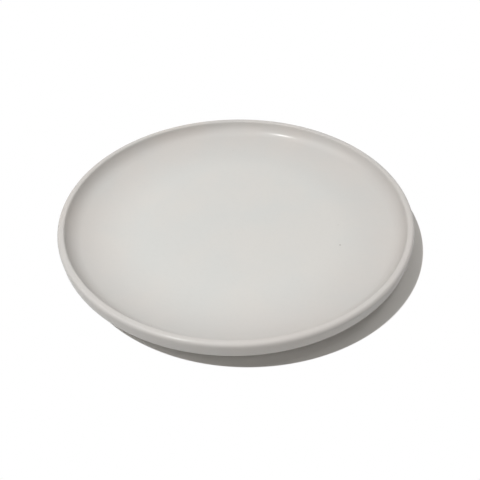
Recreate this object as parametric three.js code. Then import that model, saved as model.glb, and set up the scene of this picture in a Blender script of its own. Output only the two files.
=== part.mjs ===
import * as THREE from 'three';

// A stoneware side plate: one fired clay body with an upright rim, a dished well and a turned foot
// ring, and the two coats of glaze that are melted onto it. The foot ring is left bare.
// Sizes are in millimetres and +Z is up. The plate stands on z = 0 with its middle on the Z axis.

// Overall sizes of the finished, glazed plate
const PLATE_DIAMETER = 200; // across the widest part of the rim
const WELL_DEPTH = 11.8; // top of the rim down to the middle of the well
const FLOOR_THICKNESS = 4.2; // middle of the well down to the recess in the base
const FOOT_HEIGHT = 3; // recess in the base down to the table
const GLAZE_THICKNESS = 0.4; // each coat, measured square to the clay

// Rim and upright band, sizes of the clay under the glaze
const RIM_THICKNESS = 3;
const LIP_OUTER_RADIUS = 1.5;
const LIP_INNER_RADIUS = 0.8;
const BAND_HEIGHT = 7.8; // top of the rim down to the underside of the upright band
const BAND_EDGE_RADIUS = 1.4;
const BAND_DRAFT = 3; // degrees that the band leans in towards the table

// Well
const WALL_DRAFT = 14; // degrees that the inner wall leans in towards the floor
const COVE_RADIUS = 10;
const DISH_WIDTH = 22; // the border of the floor, which curves up to the cove
const DISH_SLOPE = 20; // degrees, where that border meets the cove

// Underside and foot ring
const FLANK_SLOPE = 38; // degrees, where the underside leaves the band
const FLANK_RISE = 0.4; // underside just outside the foot, above the recess inside it
const RIM_OVERHANG = 34; // the rim stands out past the foot by this much
const FOOT_WIDTH = 4.6;
const FOOT_EDGE_RADIUS = 0.9;
const FOOT_FILLET_RADIUS = 1.2;
const FOOT_DRAFT = 12; // degrees that each side of the foot leans
const GLAZE_LINE_HEIGHT = 1.5; // where the glaze stops above the table

// Fineness of the facets
const TURNS = 60; // flats round the plate
const ARC_STEP = 26; // degrees of a rounded corner for each facet
const DISH_STEPS = 4;
const COVE_STEPS = 5;
const FLANK_STEPS = 4;

const { degToRad } = THREE.MathUtils;

/** The direction, in the half section (radius, height), that lies at an angle in degrees. */
function direction(angle) {
  return new THREE.Vector2(Math.cos(degToRad(angle)), Math.sin(degToRad(angle)));
}

/** The point that lies a distance from a start, at an angle in degrees. */
function away(start, angle, distance) {
  return direction(angle).multiplyScalar(distance).add(start);
}

/** Points on an arc from one angle to another, in degrees. */
function arc(centre, radius, from, to, steps = Math.ceil(Math.abs(to - from) / ARC_STEP)) {
  const points = [];
  for (let step = 0; step <= steps; step += 1) {
    points.push(away(centre, from + ((to - from) * step) / steps, radius));
  }
  return points;
}

/** An outline moved out to its left by one thickness, as a coat lies on it. */
function coat(outline, thickness) {
  return outline.map((point, index) => {
    const before = outline[Math.max(index - 1, 0)];
    const after = outline[Math.min(index + 1, outline.length - 1)];
    const normals = [[before, point], [point, after]]
      .map(([start, end]) => new THREE.Vector2(start.y - end.y, end.x - start.x))
      .filter((normal) => normal.lengthSq() > 0)
      .map((normal) => normal.normalize());
    const mitre = normals.reduce((sum, normal) => sum.clone().add(normal)).normalize();
    return point.clone().addScaledVector(mitre, thickness / mitre.dot(normals[0]));
  });
}

// Levels and radii that follow from the sizes
const rimTop = FOOT_HEIGHT + FLOOR_THICKNESS + WELL_DEPTH;
const clayTop = rimTop - GLAZE_THICKNESS;
const clayFloor = FOOT_HEIGHT + FLOOR_THICKNESS - GLAZE_THICKNESS;
const clayRecess = FOOT_HEIGHT + GLAZE_THICKNESS;
const clayRadius = PLATE_DIAMETER / 2 - GLAZE_THICKNESS;
const footRadius = PLATE_DIAMETER / 2 - RIM_OVERHANG;

/** The rounded lip: the centres of its two corners, whose radii the rim's thickness limits. */
function lip() {
  const innerRadius = Math.min(LIP_INNER_RADIUS, RIM_THICKNESS / 2);
  const outerRadius = Math.min(LIP_OUTER_RADIUS, RIM_THICKNESS - innerRadius);
  const innerEdge = clayRadius - RIM_THICKNESS;
  return {
    innerRadius,
    outerRadius,
    inner: new THREE.Vector2(innerEdge + innerRadius, clayTop - innerRadius),
    outer: new THREE.Vector2(clayRadius - outerRadius, clayTop - outerRadius),
  };
}

/** The well, from its middle over the dished border and the cove to the top of the inner wall. */
function wellOutline({ inner, innerRadius }) {
  const slope = degToRad(DISH_SLOPE);
  const draft = degToRad(WALL_DRAFT);
  const wallTop = away(inner, 180 - WALL_DRAFT, innerRadius);
  const coveFoot = clayFloor + DISH_WIDTH * Math.tan(slope / 2);
  const coveShare = Math.cos(slope) - Math.sin(draft);
  const coveRadius = Math.min(COVE_RADIUS, (wallTop.y - coveFoot) / coveShare);
  const coveHeight = coveFoot + coveRadius * Math.cos(slope);
  const wallEnd = coveHeight - coveRadius * Math.sin(draft);
  const wallRun = (wallTop.y - wallEnd) * Math.tan(draft);
  const cove = new THREE.Vector2(wallTop.x - wallRun - coveRadius * Math.cos(draft), coveHeight);
  const dishRadius = DISH_WIDTH / Math.sin(slope);
  const dish = new THREE.Vector2(
    cove.x + coveRadius * Math.sin(slope) - DISH_WIDTH,
    clayFloor + dishRadius,
  );
  return [
    new THREE.Vector2(0, clayFloor),
    ...arc(dish, dishRadius, -90, DISH_SLOPE - 90, DISH_STEPS),
    ...arc(cove, coveRadius, DISH_SLOPE - 90, -WALL_DRAFT, COVE_STEPS).slice(1),
  ];
}

/** One side of the foot ring, from the underside down a fillet to the rounded edge on the table. */
function footSide(edgeRadius, level, outwards) {
  const draft = degToRad(FOOT_DRAFT);
  const toEdge = FOOT_EDGE_RADIUS * (1 - Math.sin(draft));
  const toFillet = FOOT_FILLET_RADIUS * (1 - Math.sin(draft));
  const run = (level - toEdge - toFillet) * Math.tan(draft);
  const roundings = (FOOT_EDGE_RADIUS + FOOT_FILLET_RADIUS) * Math.cos(draft);
  const edge = new THREE.Vector2(-FOOT_EDGE_RADIUS, FOOT_EDGE_RADIUS);
  const fillet = new THREE.Vector2(edge.x + roundings + run, level - FOOT_FILLET_RADIUS);
  const wall = arc(edge, FOOT_EDGE_RADIUS, -FOOT_DRAFT, -90);
  const glazeLine = new THREE.Vector2(
    wall[0].x + (GLAZE_LINE_HEIGHT - wall[0].y) * Math.tan(draft),
    GLAZE_LINE_HEIGHT,
  );
  const place = (point) => new THREE.Vector2(edgeRadius + outwards * point.x, point.y);
  return {
    glazed: [...arc(fillet, FOOT_FILLET_RADIUS, 90, 180 - FOOT_DRAFT), glazeLine].map(place),
    bare: wall.map(place),
  };
}

/** The outside: over the lip, down the upright band and along the underside to the foot. */
function outsideOutline({ inner, innerRadius, outer, outerRadius }, foot) {
  const bandTop = away(outer, -BAND_DRAFT, outerRadius);
  const edgeHeight = rimTop - BAND_HEIGHT + BAND_EDGE_RADIUS;
  const edgeStart = edgeHeight - BAND_EDGE_RADIUS * Math.sin(degToRad(BAND_DRAFT));
  const bandRun = (bandTop.y - edgeStart) * Math.tan(degToRad(BAND_DRAFT));
  const bandEdge = new THREE.Vector2(
    bandTop.x - bandRun - BAND_EDGE_RADIUS * Math.cos(degToRad(BAND_DRAFT)),
    edgeHeight,
  );
  const flankStart = away(bandEdge, FLANK_SLOPE - 90, BAND_EDGE_RADIUS);
  const flankEnd = foot.glazed[0];
  const knee = new THREE.Vector2(
    flankStart.x - (flankStart.y - flankEnd.y) / Math.tan(degToRad(FLANK_SLOPE)),
    flankEnd.y,
  );
  const flank = new THREE.QuadraticBezierCurve(flankStart, knee, flankEnd);
  return [
    ...arc(inner, innerRadius, 180 - WALL_DRAFT, 90),
    ...arc(outer, outerRadius, 90, 0),
    ...arc(outer, outerRadius, 0, -BAND_DRAFT).slice(1),
    ...arc(bandEdge, BAND_EDGE_RADIUS, -BAND_DRAFT, FLANK_SLOPE - 90),
    ...flank.getPoints(FLANK_STEPS).slice(1, -1),
    ...foot.glazed,
  ];
}

const lipCorners = lip();
const footOutside = footSide(footRadius, clayRecess + FLANK_RISE, 1);
const footInside = footSide(footRadius - FOOT_WIDTH, clayRecess, -1);

// The clay's half section, in three stretches: the upper glaze's, the bare foot and the base's
const upperClay = [...wellOutline(lipCorners), ...outsideOutline(lipCorners, footOutside)];
const bareFoot = [...footOutside.bare, ...footInside.bare.reverse()];
const baseClay = [...footInside.glazed.reverse(), new THREE.Vector2(0, clayRecess)];

const glaze = { color: 0xdad9d5, roughness: 0.38, metalness: 0 };
const bareClay = { color: 0xc9bfae, roughness: 0.92, metalness: 0 };

/** A turned piece: a half section, run anticlockwise from axis to axis, swept round the Z axis. */
function turned(name, outline, finish) {
  const geometry = new THREE.LatheGeometry(outline, TURNS).rotateX(Math.PI / 2);
  const mesh = new THREE.Mesh(geometry, new THREE.MeshStandardMaterial(finish));
  mesh.name = name;
  return mesh;
}

const sidePlate = new THREE.Group();
sidePlate.add(
  turned('stoneware_body', [...upperClay, ...bareFoot, ...baseClay].reverse(), bareClay),
  turned(
    'upper_glaze_coat',
    [...upperClay, ...coat(upperClay, GLAZE_THICKNESS).reverse()],
    glaze,
  ),
  turned(
    'base_glaze_coat',
    [...coat(baseClay, GLAZE_THICKNESS).reverse(), ...baseClay],
    glaze,
  ),
);

export default sidePlate;
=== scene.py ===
"""A stoneware side plate in pale satin glaze, standing on white paper in a small studio.

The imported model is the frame. Its three solids, the turned clay body and the two coats of glaze, are turned
again here with fine sections, and get the unevenness that firing leaves, a rolled glaze edge and a trimmed foot.
"""

import logging
import math
import random
from collections.abc import Callable, Mapping, Sequence
from dataclasses import dataclass, field
from enum import Enum

import bmesh
import bpy
from mathutils import Matrix, Vector


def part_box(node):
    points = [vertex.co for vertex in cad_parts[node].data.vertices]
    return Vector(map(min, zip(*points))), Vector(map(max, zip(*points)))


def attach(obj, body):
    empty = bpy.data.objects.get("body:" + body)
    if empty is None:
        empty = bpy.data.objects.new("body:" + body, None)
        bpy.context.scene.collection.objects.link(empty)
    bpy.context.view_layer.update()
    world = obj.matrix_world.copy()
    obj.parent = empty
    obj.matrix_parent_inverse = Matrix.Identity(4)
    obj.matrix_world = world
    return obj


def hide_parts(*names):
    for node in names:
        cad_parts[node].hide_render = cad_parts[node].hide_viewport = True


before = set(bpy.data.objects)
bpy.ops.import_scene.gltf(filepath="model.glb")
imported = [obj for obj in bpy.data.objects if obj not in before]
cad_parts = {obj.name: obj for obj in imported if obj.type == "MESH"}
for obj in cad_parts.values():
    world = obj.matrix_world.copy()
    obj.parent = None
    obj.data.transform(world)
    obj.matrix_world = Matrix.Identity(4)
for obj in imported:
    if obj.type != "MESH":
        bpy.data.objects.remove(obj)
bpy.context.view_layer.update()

log = logging.getLogger("side_plate")

MM = 0.001
FULL_TURN = 2.0 * math.pi
BODY = "root"
NOISE_MEAN = 0.5

Colour = tuple[float, float, float]
Section = list[Vector]


class Node(Enum):
    """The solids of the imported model."""

    BODY = "stoneware_body"
    UPPER_COAT = "upper_glaze_coat"
    BASE_COAT = "base_glaze_coat"


class Slot(Enum):
    """The record's material slots."""

    GLAZE = "glaze"
    CLAY = "bare_clay"


# Shader maths


class Wire:
    """An output socket, which Python's operators carry on with Math nodes."""

    def __init__(self, recipe: "Recipe", socket: bpy.types.NodeSocket) -> None:
        """Keep the recipe that the socket belongs to, and the socket."""
        self.recipe = recipe
        self.socket = socket

    def math(self, operation: str, *values: "Wire | float") -> "Wire":
        """Add a Math node.

        Args:
            operation: the Math node's operation.
            values: its inputs, in order.

        Returns:
            The node's output.
        """
        return self.recipe.node("ShaderNodeMath", {"operation": operation}, dict(enumerate(values)))

    def __add__(self, other: "Wire | float") -> "Wire":
        """Add a value."""
        return self.math("ADD", self, other)

    def __radd__(self, other: float) -> "Wire":
        """Add to a number."""
        return self.math("ADD", other, self)

    def __sub__(self, other: "Wire | float") -> "Wire":
        """Take a value away."""
        return self.math("SUBTRACT", self, other)

    def __rsub__(self, other: float) -> "Wire":
        """Take away from a number."""
        return self.math("SUBTRACT", other, self)

    def __mul__(self, other: "Wire | float") -> "Wire":
        """Multiply by a value."""
        return self.math("MULTIPLY", self, other)

    def __rmul__(self, other: float) -> "Wire":
        """Multiply a number."""
        return self.math("MULTIPLY", other, self)

    def most(self, other: "Wire | float") -> "Wire":
        """The larger of two values."""
        return self.math("MAXIMUM", self, other)

    def step(self, low: float, high: float) -> "Wire":
        """Rise smoothly from 0 to 1.

        Args:
            low: the value at which the rise starts.
            high: the value at which it ends.

        Returns:
            The share of the rise, from 0 to 1.
        """
        settings = {"interpolation_type": "SMOOTHSTEP"}
        limits = {"From Min": low, "From Max": high, "To Min": 0.0, "To Max": 1.0}
        return self.recipe.node("ShaderNodeMapRange", settings, {"Value": self, **limits})


Settings = Mapping[str, object]
Inputs = Mapping[int | str, Wire | float | Sequence[float]]


class Recipe:
    """The node tree of a material or of the room."""

    MIX_COLOURS = (6, 7)
    MIX_RESULT = 2

    def __init__(self, owner: bpy.types.Material | bpy.types.World) -> None:
        """Start an empty tree.

        Args:
            owner: the material or the world that the tree belongs to.
        """
        self.owner = owner
        self.owner.use_nodes = True
        self.tree = self.owner.node_tree
        self.tree.nodes.clear()

    def add(self, kind: str, settings: Settings | None = None, inputs: Inputs | None = None) -> bpy.types.Node:
        """Add a node of any kind.

        Args:
            kind: the node's type.
            settings: its properties, which are set first.
            inputs: a value or a wire for each of its sockets.

        Returns:
            The node.
        """
        made = self.tree.nodes.new(kind)
        for name, value in (settings or {}).items():
            setattr(made, name, value)
        for name, value in (inputs or {}).items():
            if isinstance(value, Wire):
                self.tree.links.new(value.socket, made.inputs[name])
            else:
                made.inputs[name].default_value = value
        return made

    def node(
        self,
        kind: str,
        settings: Settings | None = None,
        inputs: Inputs | None = None,
        output: int | str = 0,
    ) -> Wire:
        """Add a node and carry on from one of its outputs.

        Args:
            kind: the node's type.
            settings: its properties, which are set first.
            inputs: a value or a wire for each of its sockets.
            output: the output to hand back.

        Returns:
            That output.
        """
        return Wire(self, self.add(kind, settings, inputs).outputs[output])

    def place(self) -> Wire:
        """The point's place on the plate, in metres."""
        return self.node("ShaderNodeTexCoord", output="Object")

    def mix(
        self, first: "Wire | Colour", second: "Wire | Colour", share: "Wire | float", blend: str = "MIX"
    ) -> Wire:
        """Mix two colours.

        Args:
            first: the colour where the share is 0.
            second: the colour where the share is 1.
            share: how much of the second colour shows.
            blend: how the second colour lies on the first.

        Returns:
            The mixed colour.
        """
        ends = [end if isinstance(end, Wire) else (*end, 1.0) for end in (first, second)]
        settings = {"data_type": "RGBA", "blend_type": blend}
        inputs = {"Factor": share, **dict(zip(self.MIX_COLOURS, ends))}
        return self.node("ShaderNodeMix", settings, inputs, self.MIX_RESULT)

    def noise(self, grain: float, detail: float = 2.0, roughness: float = 0.5) -> Wire:
        """Soft noise.

        Args:
            grain: the size of its lumps, in metres.
            detail: how many finer layers it has.
            roughness: how strong those layers are.

        Returns:
            A value around NOISE_MEAN.
        """
        sizes = {"Scale": 1.0 / grain, "Detail": detail, "Roughness": roughness}
        return self.node("ShaderNodeTexNoise", None, {"Vector": self.place(), **sizes})

    def specks(self, spacing: float, size: float) -> Wire:
        """Small round dots, one in each cell of a loose scatter.

        Args:
            spacing: the mean distance between dots, in metres.
            size: the radius of a dot, in metres.

        Returns:
            1 in the middle of a dot and 0 beside it.
        """
        cells = {"Vector": self.place(), "Scale": 1.0 / spacing, "Randomness": 1.0}
        far = self.node("ShaderNodeTexVoronoi", {"voronoi_dimensions": "3D"}, cells, output="Distance")
        return 1.0 - far.step(0.0, size / spacing)

    def distance(self, point: Sequence[float]) -> Wire:
        """The distance to a point, in metres."""
        settings = {"operation": "DISTANCE"}
        return self.node("ShaderNodeVectorMath", settings, {0: self.place(), 1: point}, output="Value")

    def height(self) -> Wire:
        """The height above the table, in metres."""
        return self.node("ShaderNodeSeparateXYZ", None, {0: self.place()}, output="Z")

    def reach(self) -> Wire:
        """Measure from the plate's axis.

        Returns:
            The distance, in metres.
        """
        level = self.node("ShaderNodeCombineXYZ", None, {"Z": self.height()})
        settings = {"operation": "DISTANCE"}
        return self.node("ShaderNodeVectorMath", settings, {0: self.place(), 1: level}, output="Value")

    def looked_at(self) -> Wire:
        """Tell the rays that look at a thing from those that only bring its light.

        Returns:
            1 for rays from the camera, from reflections and through glass, and 0 for the rest.
        """
        path = "ShaderNodeLightPath"
        seen = self.node(path, output="Is Camera Ray")
        for ray in ("Is Glossy Ray", "Is Transmission Ray"):
            seen = seen.most(self.node(path, output=ray))
        return seen

    def bump(self, height: Wire, depth: float) -> Wire:
        """Tilt the surface by a height map.

        Args:
            height: the map.
            depth: how far a height of 1 stands up, in metres.

        Returns:
            The tilted normal.
        """
        return self.node("ShaderNodeBump", None, {"Height": height, "Strength": 1.0, "Distance": depth})

    def finish(self, **inputs: "Wire | float | Sequence[float]") -> bpy.types.Material:
        """Add the shader and the output.

        Args:
            inputs: the shader's sockets, with their spaces written as underscores.

        Returns:
            The finished material.
        """
        sockets = {name.replace("_", " "): value for name, value in inputs.items()}
        shader = self.node("ShaderNodeBsdfPrincipled", None, sockets)
        self.add("ShaderNodeOutputMaterial", None, {"Surface": shader})
        return self.owner


# Finishes


@dataclass(frozen=True)
class Speck:
    """A grain of iron that has melted through the glaze."""

    place: tuple[float, float, float]
    radius: float
    strength: float


@dataclass(frozen=True)
class SatinGlaze:
    """Pale warm grey satin glaze, a little clouded, with painted shade darkening it from mid-well outwards, and
    a few specks of iron.
    """

    name: str
    colour: Colour = (0.638, 0.628, 0.599)
    warm: Colour = (0.655, 0.636, 0.602)
    cool: Colour = (0.624, 0.625, 0.602)
    # Painted shade: the glaze is multiplied darker from mid-well out to the rim, standing in for the shade near
    # the well's wall; the edge colour carries the same painted shade, a little lighter, over the rim, band and
    # underside.
    painted_shade_colour: Colour = (0.882, 0.862, 0.858)
    edge: Colour = (0.895, 0.867, 0.861)
    iron: Colour = (0.20, 0.17, 0.14)
    refraction: float = 1.5
    roughness: float = 0.55
    roughness_spread: float = 0.10
    skin_share: float = 0.30
    skin_roughness: float = 0.20
    # Where the painted shade starts and is full, and where its lighter edge colour takes over, as distances from
    # the axis.
    painted_shade_start: float = 52.0 * MM
    painted_shade_end: float = 92.0 * MM
    edge_start: float = 89.0 * MM
    edge_end: float = 94.5 * MM
    cloud: float = 34.0 * MM
    cloud_layers: float = 3.0
    cloud_range: tuple[float, float] = (0.3, 0.7)
    cloud_share: float = 0.7
    grain: float = 1.6 * MM
    grain_layers: float = 4.0
    grain_roughness: float = 0.6
    grain_share: float = 0.10
    ripple: float = 5.0 * MM
    ripple_depth: float = 0.012 * MM
    dust_spacing: float = 9.0 * MM
    dust_size: float = 0.16 * MM
    dust_share: float = 0.30
    speck_core: float = 0.4
    specks: tuple[Speck, ...] = ()

    def material(self) -> bpy.types.Material:
        """Mix the glaze.

        Returns:
            Its material.
        """
        recipe = Recipe(bpy.data.materials.new(self.name))
        cloud = recipe.noise(self.cloud, self.cloud_layers)
        colour = recipe.mix(self.cool, self.warm, cloud.step(*self.cloud_range))
        colour = recipe.mix(self.colour, colour, self.cloud_share)
        # Painted shade: darker glaze from mid-well outwards, a little less on the rim, band and underside.
        reach = recipe.reach()
        painted_shade = recipe.mix(self.painted_shade_colour, self.edge, reach.step(self.edge_start, self.edge_end))
        colour = recipe.mix(colour, painted_shade, reach.step(self.painted_shade_start, self.painted_shade_end), "MULTIPLY")
        grain = recipe.noise(self.grain, self.grain_layers, self.grain_roughness)
        colour = recipe.mix(colour, self.iron, (NOISE_MEAN - grain).most(0.0) * self.grain_share)
        dots = recipe.specks(self.dust_spacing, self.dust_size) * self.dust_share
        for speck in self.specks:
            near = 1.0 - recipe.distance(speck.place).step(self.speck_core * speck.radius, speck.radius)
            dots = dots.most(near * speck.strength)
        colour = recipe.mix(colour, self.iron, dots)
        return recipe.finish(
            Base_Color=colour,
            Roughness=self.roughness + (cloud - NOISE_MEAN) * self.roughness_spread,
            Normal=recipe.bump(recipe.noise(self.ripple), self.ripple_depth),
            IOR=self.refraction,
            Coat_Weight=self.skin_share,
            Coat_Roughness=self.skin_roughness,
        )


@dataclass(frozen=True)
class FiredClay:
    """Bare fired stoneware: buff, gritty and dull, with the fine rings of the trimming tool."""

    name: str
    colour: Colour = (0.58, 0.52, 0.42)
    toasted: Colour = (0.47, 0.37, 0.26)
    grit: Colour = (0.22, 0.17, 0.12)
    shine: float = 0.25
    roughness: float = 0.9
    roughness_spread: float = 0.1
    patch: float = 12.0 * MM
    patch_layers: float = 3.0
    patch_range: tuple[float, float] = (0.35, 0.8)
    patch_share: float = 0.6
    grain: float = 0.7 * MM
    grain_layers: float = 5.0
    grain_roughness: float = 0.65
    grain_level: float = 0.55
    grain_share: float = 0.8
    grain_depth: float = 0.05 * MM
    grit_spacing: float = 2.2 * MM
    grit_size: float = 0.22 * MM
    grit_share: float = 0.6

    def material(self) -> bpy.types.Material:
        """Mix the clay.

        Returns:
            Its material.
        """
        recipe = Recipe(bpy.data.materials.new(self.name))
        patches = recipe.noise(self.patch, self.patch_layers)
        grain = recipe.noise(self.grain, self.grain_layers, self.grain_roughness)
        colour = recipe.mix(self.colour, self.toasted, patches.step(*self.patch_range) * self.patch_share)
        colour = recipe.mix(colour, self.grit, (self.grain_level - grain).most(0.0) * self.grain_share)
        dots = recipe.specks(self.grit_spacing, self.grit_size) * self.grit_share
        colour = recipe.mix(colour, self.grit, dots)
        return recipe.finish(
            Base_Color=colour,
            Roughness=self.roughness - self.roughness_spread * patches,
            Normal=recipe.bump(grain, self.grain_depth),
            Specular_IOR_Level=self.shine,
        )


@dataclass(frozen=True)
class WhitePaper:
    """The sweep of white paper, which the camera sees as pure white beyond the plate's shadow."""

    name: str
    shadow_middle: Vector
    shadow_radius: float
    white: Colour = (1.0, 1.0, 1.0)
    black: Colour = (0.0, 0.0, 0.0)
    seen: Colour = (0.74, 0.715, 0.678)
    bounced: Colour = (0.70, 0.70, 0.69)
    glow_start: float = -0.25 * MM
    glow_end: float = 0.25 * MM

    def material(self) -> bpy.types.Material:
        """Make the paper.

        Returns:
            Its material.
        """
        recipe = Recipe(bpy.data.materials.new(self.name))
        looked_at = recipe.looked_at()
        # Painted shadow edge: the white glow stops at the circle that the key lamp's shadow of the rim casts on
        # the paper; inside it the paper shows its rendered shade.
        away = recipe.distance((*self.shadow_middle, 0.0)) - self.shadow_radius
        glow = away.step(self.glow_start, self.glow_end)
        lit = recipe.mix(self.seen, self.black, glow)
        return recipe.finish(
            Base_Color=recipe.mix(self.bounced, lit, looked_at),
            Roughness=1.0,
            Specular_IOR_Level=0.0,
            Emission_Color=recipe.mix(self.black, self.white, glow * looked_at),
            Emission_Strength=1.0,
        )


# Drawing a section


def toward(angle: float) -> Vector:
    """The direction, as radius and height, at an angle in degrees."""
    return Vector((math.cos(math.radians(angle)), math.sin(math.radians(angle))))


@dataclass(frozen=True)
class Pen:
    """Draws the stretches of a half section as points close enough to look smooth."""

    arc_step: float = 4.0
    run_step: float = 2.5 * MM

    def arc(self, centre: Vector, radius: float, start: float, end: float) -> Section:
        """Draw an arc.

        Args:
            centre: its centre.
            radius: its radius.
            start: the angle that it starts from, in degrees.
            end: the angle that it ends at.

        Returns:
            Its points.
        """
        steps = max(2, math.ceil(abs(end - start) / self.arc_step))
        return [centre + toward(start + (end - start) * step / steps) * radius for step in range(steps + 1)]

    def run(self, start: Vector, end: Vector) -> Section:
        """Draw a straight stretch, with both its ends."""
        steps = max(1, math.ceil((end - start).length / self.run_step))
        return [start.lerp(end, step / steps) for step in range(steps + 1)]

    def sweep(self, start: Vector, knee: Vector, end: Vector, steps: int = 24) -> Section:
        """Draw a curve that leaves its start and meets its end along lines through a knee.

        Args:
            start: the first point.
            knee: where the two lines meet.
            end: the last point.
            steps: the number of facets.

        Returns:
            Its points.
        """
        shares = [step / steps for step in range(steps + 1)]
        return [start.lerp(knee, share).lerp(knee.lerp(end, share), share) for share in shares]


def joined(*stretches: Section) -> Section:
    """Join stretches into one section, leaving out points that fall on the last one.

    Args:
        stretches: the stretches, in order.

    Returns:
        The joined section.
    """
    least = 0.005 * MM
    points: Section = []
    for point in (point for stretch in stretches for point in stretch):
        if not points or (point - points[-1]).length > least:
            points.append(point)
    return points


@dataclass(frozen=True)
class FootSide:
    """One side of the foot ring."""

    glazed: Section
    wall_top: Vector
    wall_foot: Vector
    bare: Section


@dataclass(frozen=True)
class PlateSection:
    """The half section of the clay. The radius and the height are those of the glazed plate."""

    radius: float
    rim_top: float
    well_depth: float = 11.8 * MM
    floor_thickness: float = 4.2 * MM
    glaze: float = 0.4 * MM
    rim_thickness: float = 3.3 * MM
    lip_outer: float = 1.5 * MM
    lip_inner: float = 0.6 * MM
    band_height: float = 8.4 * MM
    band_edge: float = 1.4 * MM
    band_draft: float = 3.0
    wall_draft: float = 14.0
    cove: float = 11.0 * MM
    dish_width: float = 18.0 * MM
    dish_slope: float = 18.0
    flank_slope: float = 38.0
    flank_rise: float = 0.4 * MM
    rim_overhang: float = 34.0 * MM
    foot_width: float = 4.6 * MM
    foot_edge: float = 0.9 * MM
    foot_fillet: float = 1.2 * MM
    foot_draft: float = 12.0
    glaze_line: float = 1.5 * MM
    pen: Pen = field(default_factory=Pen)

    @property
    def well_height(self) -> float:
        """The height of the glazed floor of the well."""
        return self.rim_top - self.well_depth

    @property
    def recess(self) -> float:
        """The height of the clay in the recess under the base."""
        return self.well_height - self.floor_thickness + self.glaze

    def lip_centre(self, inner: bool) -> Vector:
        """The centre of one of the lip's two rounded corners.

        Args:
            inner: the corner on the well's side.

        Returns:
            The centre.
        """
        outside = self.radius - self.glaze
        top = self.rim_top - self.glaze
        if inner:
            return Vector((outside - self.rim_thickness + self.lip_inner, top - self.lip_inner))
        return Vector((outside - self.lip_outer, top - self.lip_outer))

    def well(self) -> Section:
        """Draw the well.

        Returns:
            The stretch from its middle over the dished border and the cove to the lip.
        """
        floor = self.well_height - self.glaze
        slope, draft = math.radians(self.dish_slope), math.radians(self.wall_draft)
        wall_top = self.lip_centre(inner=True) + toward(180.0 - self.wall_draft) * self.lip_inner
        cove_height = floor + self.dish_width * math.tan(slope / 2.0) + self.cove * math.cos(slope)
        wall_end = cove_height - self.cove * math.sin(draft)
        wall_run = (wall_top.y - wall_end) * math.tan(draft)
        cove = Vector((wall_top.x - wall_run - self.cove * math.cos(draft), cove_height))
        dish_radius = self.dish_width / math.sin(slope)
        dish = Vector((cove.x + self.cove * math.sin(slope) - self.dish_width, floor + dish_radius))
        border = self.finer(self.pen.arc(dish, dish_radius, -90.0, self.dish_slope - 90.0))
        hollow = self.pen.arc(cove, self.cove, self.dish_slope - 90.0, -self.wall_draft)
        return joined(
            self.pen.run(Vector((0.0, floor)), border[0]), border, hollow, self.pen.run(hollow[-1], wall_top)
        )

    def finer(self, stretch: Section) -> Section:
        """Divide the long facets of a stretch."""
        pairs = zip(stretch, stretch[1:])
        return joined(*(self.pen.run(start, end) for start, end in pairs))

    def outside(self) -> Section:
        """Draw the outside.

        Returns:
            The stretch over the lip, down the upright band and along the underside to the foot.
        """
        inner, outer = self.lip_centre(inner=True), self.lip_centre(inner=False)
        draft = math.radians(self.band_draft)
        band_top = outer + toward(-self.band_draft) * self.lip_outer
        edge_height = self.rim_top - self.band_height + self.band_edge
        edge_start = edge_height - self.band_edge * math.sin(draft)
        band_run = (band_top.y - edge_start) * math.tan(draft)
        edge = Vector((band_top.x - band_run - self.band_edge * math.cos(draft), edge_height))
        turn = self.pen.arc(edge, self.band_edge, -self.band_draft, self.flank_slope - 90.0)
        end = self.foot_outside().glazed[0]
        drop = (turn[-1].y - end.y) / math.tan(math.radians(self.flank_slope))
        return joined(
            self.pen.arc(inner, self.lip_inner, 180.0 - self.wall_draft, 90.0),
            self.pen.arc(outer, self.lip_outer, 90.0, 0.0),
            self.pen.arc(outer, self.lip_outer, 0.0, -self.band_draft),
            self.pen.run(band_top, turn[0]),
            turn,
            self.pen.sweep(turn[-1], Vector((turn[-1].x - drop, end.y)), end),
        )

    def foot_side(self, edge_radius: float, level: float, outwards: float) -> FootSide:
        """One side of the foot ring, from the underside down to the table.

        Args:
            edge_radius: the radius of the ring's side at the table, before its edge is rounded.
            level: the height of the clay that the side comes down from.
            outwards: 1 for the outer side and -1 for the inner one.

        Returns:
            The side.
        """
        draft = math.radians(self.foot_draft)
        roundings = (self.foot_edge + self.foot_fillet) * math.cos(draft)
        straight = level - (self.foot_edge + self.foot_fillet) * (1.0 - math.sin(draft))
        edge = Vector((-self.foot_edge, self.foot_edge))
        fillet = Vector((edge.x + roundings + straight * math.tan(draft), level - self.foot_fillet))
        hollow = self.pen.arc(fillet, self.foot_fillet, 90.0, 180.0 - self.foot_draft)
        corner = self.pen.arc(edge, self.foot_edge, -self.foot_draft, -90.0)
        place = [[Vector((edge_radius + outwards * p.x, p.y)) for p in part] for part in (hollow, corner)]
        return FootSide(place[0], place[0][-1], place[1][0], place[1])

    def foot_outside(self) -> FootSide:
        """The outer side of the foot ring."""
        return self.foot_side(self.radius - self.rim_overhang, self.recess + self.flank_rise, 1.0)

    def foot_inside(self) -> FootSide:
        """The inner side of the foot ring."""
        return self.foot_side(self.radius - self.rim_overhang - self.foot_width, self.recess, -1.0)

    def glazed_side(self, side: FootSide, line: float, fineness: int = 10) -> Section:
        """The glazed stretch of a foot side, with its points closer together near the glaze line.

        Args:
            side: the side of the foot.
            line: the height of the glaze line.
            fineness: the number of facets down the straight wall.

        Returns:
            The stretch, from the underside down to the line.
        """
        share = (side.wall_top.y - line) / (side.wall_top.y - side.wall_foot.y)
        steps = [math.sin(0.5 * math.pi * step / fineness) * share for step in range(1, fineness + 1)]
        return [*side.glazed, *(side.wall_top.lerp(side.wall_foot, step) for step in steps)]

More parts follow.
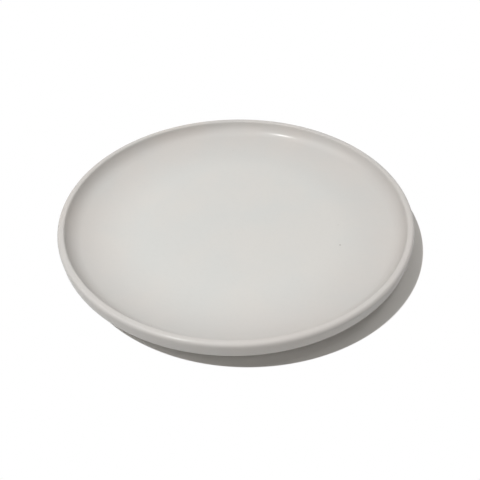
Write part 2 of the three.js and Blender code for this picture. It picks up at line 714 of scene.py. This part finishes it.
    def foot_face(self, grooves: int, depth: float, facets: int = 6) -> Section:
        """The flat of the foot between its rounded edges, with the rings that the trimming tool left.

        Args:
            grooves: the number of rings.
            depth: the depth of a ring.
            facets: the facets across each ring.

        Returns:
            The stretch, from the outer edge to the inner one.
        """
        start, end = self.foot_outside().bare[-1], self.foot_inside().bare[-1]
        count = grooves * facets
        waves = [0.5 - 0.5 * math.cos(FULL_TURN * step / facets) for step in range(count + 1)]
        return [start.lerp(end, step / count) + Vector((0.0, depth * wave)) for step, wave in enumerate(waves)]


# Unevenness


@dataclass(frozen=True)
class Wander:
    """A smooth line that wanders between 0 and 1 round the plate and closes on itself."""

    seed: int
    waves: tuple[int, ...]

    def phases(self) -> list[float]:
        """The start of each wave."""
        draw = random.Random(self.seed)
        return [draw.uniform(0.0, FULL_TURN) for _ in self.waves]

    def line(self) -> Callable[[float], float]:
        """Make the line.

        Returns:
            A function of the angle round the plate, from 0 to 1.
        """
        phases = self.phases()
        whole = sum(1.0 / wave for wave in self.waves)

        def height(angle: float) -> float:
            """The line's height at an angle."""
            parts = (math.sin(w * angle + phase) / w for w, phase in zip(self.waves, phases))
            return 0.5 + 0.5 * sum(parts) / whole

        return height


@dataclass(frozen=True)
class Firing:
    """How far the rim has settled in the kiln, which every piece of the plate follows."""

    depth: float = 0.14 * MM
    start: float = 60.0 * MM
    end: float = 100.0 * MM
    path: Wander = Wander(seed=5, waves=(2, 3, 5))

    def settle(self) -> Callable[[float, Vector], Vector]:
        """Make the settling.

        Returns:
            A function that moves a point of a section at an angle.
        """
        line = self.path.line()

        def moved(angle: float, point: Vector) -> Vector:
            """The point after firing."""
            reach = min(max((point.x - self.start) / (self.end - self.start), 0.0), 1.0)
            return Vector((point.x, point.y - self.depth * reach * reach * line(angle)))

        return moved


# The pieces


@dataclass(frozen=True)
class Wheel:
    """Turns a half section round the plate's axis into a closed mesh."""

    turns: int = 240
    on_axis: float = 0.001 * MM

    def turn(self, name: str, section: Callable[[float], Section]) -> bpy.types.Object:
        """Turn a piece.

        Args:
            name: the piece's name.
            section: its half section at an angle, from the axis round to the axis.

        Returns:
            The piece.
        """
        mesh = bmesh.new()
        spokes = [self.spoke(mesh, section(FULL_TURN * turn / self.turns), turn) for turn in range(self.turns)]
        ends = [spokes[0][0], spokes[0][-1]]
        for spoke in spokes:
            spoke[0], spoke[-1] = ends
        for here, there in zip(spokes, spokes[1:] + spokes[:1]):
            corners = zip(here, here[1:], there[1:], there)
            for quad in corners:
                mesh.faces.new(list(dict.fromkeys(quad)))
        bmesh.ops.recalc_face_normals(mesh, faces=mesh.faces)
        for face in mesh.faces:
            face.smooth = True
        data = bpy.data.meshes.new(name)
        mesh.to_mesh(data)
        mesh.free()
        piece = bpy.data.objects.new(name, data)
        bpy.context.scene.collection.objects.link(piece)
        return piece

    def spoke(self, mesh: bmesh.types.BMesh, section: Section, turn: int) -> list[bmesh.types.BMVert | None]:
        """Place a section's points at one turn of the wheel.

        Args:
            mesh: the mesh to add them to.
            section: the section.
            turn: the count of the turn.

        Returns:
            Its points. The two on the axis are made at the first turn alone, for all turns.
        """
        angle = FULL_TURN * turn / self.turns
        points: list[bmesh.types.BMVert | None] = []
        for index, point in enumerate(section):
            shared = index in (0, len(section) - 1)
            if shared and turn:
                points.append(None)
                continue
            reach = 0.0 if shared else max(point.x, self.on_axis)
            points.append(mesh.verts.new((reach * math.cos(angle), reach * math.sin(angle), point.y)))
        return points


def dress(piece: bpy.types.Object, node: Node, slot: Slot, finish: SatinGlaze | FiredClay) -> None:
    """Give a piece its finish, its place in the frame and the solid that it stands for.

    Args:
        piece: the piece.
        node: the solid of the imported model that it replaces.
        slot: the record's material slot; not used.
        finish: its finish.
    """
    piece.data.materials.append(finish.material())
    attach(piece, BODY)
    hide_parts(node.value)
    log.info("%s: %d faces, stands for %s", piece.name, len(piece.data.polygons), node.value)


@dataclass(frozen=True)
class ClayBody:
    """The fired clay, of which only the foot ring shows."""

    section: PlateSection
    firing: Firing
    wheel: Wheel
    grooves: int = 5
    groove_depth: float = 0.06 * MM

    def outline(self) -> Section:
        """Draw the clay.

        Returns:
            Its half section, from the middle of the well round to the middle of the base.
        """
        plate = self.section
        outer, inner = plate.foot_outside(), plate.foot_inside()
        recess = plate.pen.run(inner.glazed[0], Vector((0.0, plate.recess)))
        return joined(
            plate.well(),
            plate.outside(),
            outer.glazed,
            outer.bare,
            plate.foot_face(self.grooves, self.groove_depth),
            inner.bare[::-1],
            inner.glazed[::-1],
            recess,
        )

    def build(self, finish: FiredClay) -> bpy.types.Object:
        """Turn and dress the clay.

        Args:
            finish: its finish.

        Returns:
            The piece.
        """
        outline, settle = self.outline(), self.firing.settle()
        piece = self.wheel.turn("clay_body", lambda angle: [settle(angle, point) for point in outline])
        dress(piece, Node.BODY, Slot.CLAY, finish)
        return piece


@dataclass(frozen=True)
class GlazeCoat:
    """A coat of glaze: thin over edges, fuller in hollows, and rolled over at the glaze line."""

    section: PlateSection
    firing: Firing
    wheel: Wheel
    gather: float = 0.35 * MM
    thinnest: float = 0.7
    fullest: float = 1.2
    evening: int = 10
    roll: float = 0.9 * MM
    line_wander: float = 0.35 * MM

    def thickness(self, clay: Section) -> list[float]:
        """How thick the coat lies at each point of the clay.

        Args:
            clay: the clay under it, which ends at the glaze line.

        Returns:
            The thicknesses.
        """
        shares = [1.0] * len(clay)
        for index in range(1, len(clay) - 1):
            before, after = clay[index] - clay[index - 1], clay[index + 1] - clay[index]
            bend = before.angle_signed(after) / (0.5 * (before.length + after.length))
            shares[index] = min(max(1.0 - self.gather * bend, self.thinnest), self.fullest)
        for _ in range(self.evening):
            middle = [0.25 * a + 0.5 * b + 0.25 * c for a, b, c in zip(shares, shares[1:], shares[2:])]
            shares = [shares[0], *middle, shares[-1]]
        left, rolled = 0.0, []
        for index in reversed(range(len(clay))):
            if index + 1 < len(clay):
                left += (clay[index + 1] - clay[index]).length
            edge = max(1.0 - left / self.roll, 0.0)
            rolled.append(shares[index] * self.section.glaze * math.sqrt(1.0 - edge * edge))
        return rolled[::-1]

    def skin(self, clay: Section, side: float) -> Section:
        """The outer face of the coat.

        Args:
            clay: the clay under it, from the axis to the glaze line.
            side: 1 if the coat lies to the left of that line, and -1 if to the right.

        Returns:
            The face's points.
        """
        thick = self.thickness(clay)
        skin = []
        for index, point in enumerate(clay):
            before, after = clay[max(index - 1, 0)], clay[min(index + 1, len(clay) - 1)]
            along = (after - before).normalized()
            skin.append(point + Vector((-along.y, along.x)) * side * thick[index])
        skin[0].x = 0.0
        return skin

    def shell(self, name: str, clay: Callable[[float], Section], side: float) -> bpy.types.Object:
        """Turn the coat.

        Args:
            name: the piece's name.
            clay: the clay under the coat at an angle, from the axis to the glaze line.
            side: the side of that line on which the coat lies.

        Returns:
            The piece.
        """
        settle = self.firing.settle()

        def section(angle: float) -> Section:
            """The coat's half section at an angle: its outer face, and back along the clay."""
            under = clay(angle)
            whole = [*self.skin(under, side)[:-1], *under[::-1]]
            return [settle(angle, point) for point in whole]

        return self.wheel.turn(name, section)

    def line_height(self, wander: Callable[[float], float], angle: float) -> float:
        """The height of the glaze line at an angle."""
        return self.section.glaze_line + self.line_wander * (wander(angle) - 0.5)

    def build_upper(self, finish: SatinGlaze) -> bpy.types.Object:
        """Turn and dress the coat over the well, the rim, the band and the underside.

        Args:
            finish: its finish.

        Returns:
            The piece.
        """
        plate, wander = self.section, Wander(seed=11, waves=(3, 7, 12, 19)).line()
        common, side = joined(plate.well(), plate.outside()), plate.foot_outside()

        def clay(angle: float) -> Section:
            """The clay under the coat at an angle."""
            return joined(common, plate.glazed_side(side, self.line_height(wander, angle)))

        piece = self.shell("upper_glaze", clay, 1.0)
        dress(piece, Node.UPPER_COAT, Slot.GLAZE, finish)
        return piece

    def build_base(self, finish: SatinGlaze) -> bpy.types.Object:
        """Turn and dress the coat in the recess of the base.

        Args:
            finish: its finish.

        Returns:
            The piece.
        """
        plate, wander = self.section, Wander(seed=23, waves=(4, 9, 14, 21)).line()
        side = plate.foot_inside()
        recess = plate.pen.run(Vector((0.0, plate.recess)), side.glazed[0])

        def clay(angle: float) -> Section:
            """The clay under the coat at an angle."""
            return joined(recess, plate.glazed_side(side, self.line_height(wander, angle)))

        piece = self.shell("base_glaze", clay, -1.0)
        dress(piece, Node.BASE_COAT, Slot.GLAZE, finish)
        return piece


# The studio


@dataclass(frozen=True)
class Lamp:
    """A round lamp or softbox that faces the plate."""

    name: str
    place: Vector
    width: float
    light: float

    def hang(self) -> bpy.types.Object:
        """Hang the lamp.

        Returns:
            The lamp, which lights a white card at the plate, square to its beam, to the share in light.
        """
        data = bpy.data.lights.new(self.name, "AREA")
        data.shape = "DISK"
        data.size = self.width
        data.energy = self.light * math.pi**2 * (self.place.length_squared + (0.5 * self.width) ** 2)
        lamp = bpy.data.objects.new(self.name, data)
        lamp.location = self.place
        lamp.rotation_mode = "QUATERNION"
        lamp.rotation_quaternion = self.place.to_track_quat("Z", "Y")
        bpy.context.scene.collection.objects.link(lamp)
        log.info("%s: %.2f W", self.name, data.energy)
        return lamp


def aimed(distance: float, elevation: float, bearing: float) -> Vector:
    """A place at a distance from the plate's foot.

    Args:
        distance: how far it is, in metres.
        elevation: its angle above the table, in degrees.
        bearing: its angle round the plate from +X, in degrees.

    Returns:
        The place.
    """
    up, round_plate = math.radians(elevation), math.radians(bearing)
    flat = math.cos(up)
    return distance * Vector((flat * math.cos(round_plate), flat * math.sin(round_plate), math.sin(up)))


@dataclass(frozen=True)
class Studio:
    """The paper, the lamps, the white room and the camera."""

    section: PlateSection
    key_place: Vector = Vector((-0.265, -0.185, 0.700))
    key_width: float = 0.02
    key_light: float = 0.38
    paper_size: float = 6.0
    sensor: float = 36.0
    nearest_seen: float = 0.01
    picture: float = 480.0
    focal_pixels: float = 550.0
    middle_pixel: tuple[float, float] = (236.4, 230.2)
    camera_distance: float = 0.328
    camera_elevation: float = 40.56
    camera_roll: float = -1.16

    def softboxes(self) -> list[Lamp]:
        """The soft lamps round the plate."""
        return [
            Lamp("spare_lamp", aimed(0.95, 72.6, 304.0), width=0.05, light=0.036),
            Lamp("top_softbox", Vector((-0.05, 0.05, 0.5)), width=0.30, light=0.141),
            Lamp("left_softbox", aimed(1.3, 45.0, 180.0), width=0.80, light=0.213),
            Lamp("front_softbox", aimed(1.3, 45.0, 270.0), width=0.80, light=0.181),
            Lamp("back_right_softbox", aimed(1.3, 45.0, 45.0), width=0.80, light=0.107),
            Lamp("back_softbox", aimed(1.3, 45.0, 90.0), width=0.80, light=0.044),
            Lamp("high_right_softbox", aimed(1.0, 70.0, 0.0), width=0.50, light=0.072),
        ]

    def lay_paper(self) -> bpy.types.Object:
        """Lay the paper under the plate.

        Returns:
            The paper.
        """
        half = 0.5 * self.paper_size
        corners = [(-half, -half, 0.0), (half, -half, 0.0), (half, half, 0.0), (-half, half, 0.0)]
        mesh = bpy.data.meshes.new("paper_sweep")
        mesh.from_pydata(corners, [], [(0, 1, 2, 3)])
        paper = bpy.data.objects.new("paper_sweep", mesh)
        bpy.context.scene.collection.objects.link(paper)
        lip = self.section.rim_top - self.section.lip_outer
        spread = self.key_place.z / (self.key_place.z - lip)
        middle = self.key_place.xy * (1.0 - spread)
        mesh.materials.append(WhitePaper("white_paper", middle, self.section.radius * spread).material())
        return paper

    def show_room(self) -> None:
        """Show the empty room white where it is looked at or mirrored. It brings no other light."""
        world = bpy.data.worlds.new("studio_room")
        recipe = Recipe(world)
        dark = recipe.node("ShaderNodeBackground", None, {"Color": (0.0, 0.0, 0.0, 1.0)})
        white = recipe.node("ShaderNodeBackground", None, {"Color": (1.0, 1.0, 1.0, 1.0)})
        room = recipe.node("ShaderNodeMixShader", None, {0: recipe.looked_at(), 1: dark, 2: white})
        recipe.add("ShaderNodeOutputWorld", None, {"Surface": room})
        bpy.context.scene.world = world

    def set_camera(self) -> bpy.types.Object:
        """Set the camera so that the middle of the foot falls on its pixel.

        Returns:
            The camera.
        """
        up = math.radians(self.camera_elevation)
        back = Vector((0.0, -math.cos(up), math.sin(up)))
        centre = 0.5 * self.picture
        pan = math.atan2(self.middle_pixel[0] - centre, self.focal_pixels)
        tilt = math.atan2(centre - self.middle_pixel[1], self.focal_pixels / math.cos(pan))
        data = bpy.data.cameras.new("camera")
        data.sensor_width = self.sensor
        data.lens = self.focal_pixels / self.picture * self.sensor
        data.clip_start = self.nearest_seen
        camera = bpy.data.objects.new("camera", data)
        level = back.to_track_quat("Z", "Y").to_matrix()
        turn = Matrix.Rotation(pan, 3, "Y") @ Matrix.Rotation(-tilt, 3, "X")
        roll = Matrix.Rotation(math.radians(self.camera_roll), 3, "Z")
        camera.matrix_world = Matrix.Translation(back * self.camera_distance) @ (level @ turn @ roll).to_4x4()
        bpy.context.scene.collection.objects.link(camera)
        bpy.context.scene.camera = camera
        return camera

    def set_up(self) -> None:
        """Set up the whole studio."""
        self.lay_paper()
        self.show_room()
        for lamp in [Lamp("key_lamp", self.key_place, self.key_width, self.key_light), *self.softboxes()]:
            lamp.hang()
        self.set_camera()
        bpy.context.scene.view_settings.view_transform = "Standard"


SPECKS = (
    Speck((57.7 * MM, -22.8 * MM, 7.2 * MM), radius=0.62 * MM, strength=0.62),
    Speck((59.2 * MM, -5.5 * MM, 7.2 * MM), radius=0.60 * MM, strength=0.16),
    Speck((-1.1 * MM, 76.1 * MM, 7.45 * MM), radius=0.55 * MM, strength=0.16),
    Speck((-41.0 * MM, -80.2 * MM, 10.65 * MM), radius=0.55 * MM, strength=0.20),
)


def main() -> None:
    """Build the plate and its studio."""
    logging.basicConfig(level=logging.INFO, format="%(message)s")
    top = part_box(Node.UPPER_COAT.value)[1]
    section = PlateSection(radius=top.x, rim_top=top.z)
    firing, wheel = Firing(), Wheel()
    ClayBody(section, firing, wheel).build(FiredClay("fired_clay"))
    coat = GlazeCoat(section, firing, wheel)
    coat.build_upper(SatinGlaze("satin_glaze", specks=SPECKS))
    coat.build_base(SatinGlaze("base_satin_glaze"))
    Studio(section).set_up()


if __name__ == "__main__":
    main()
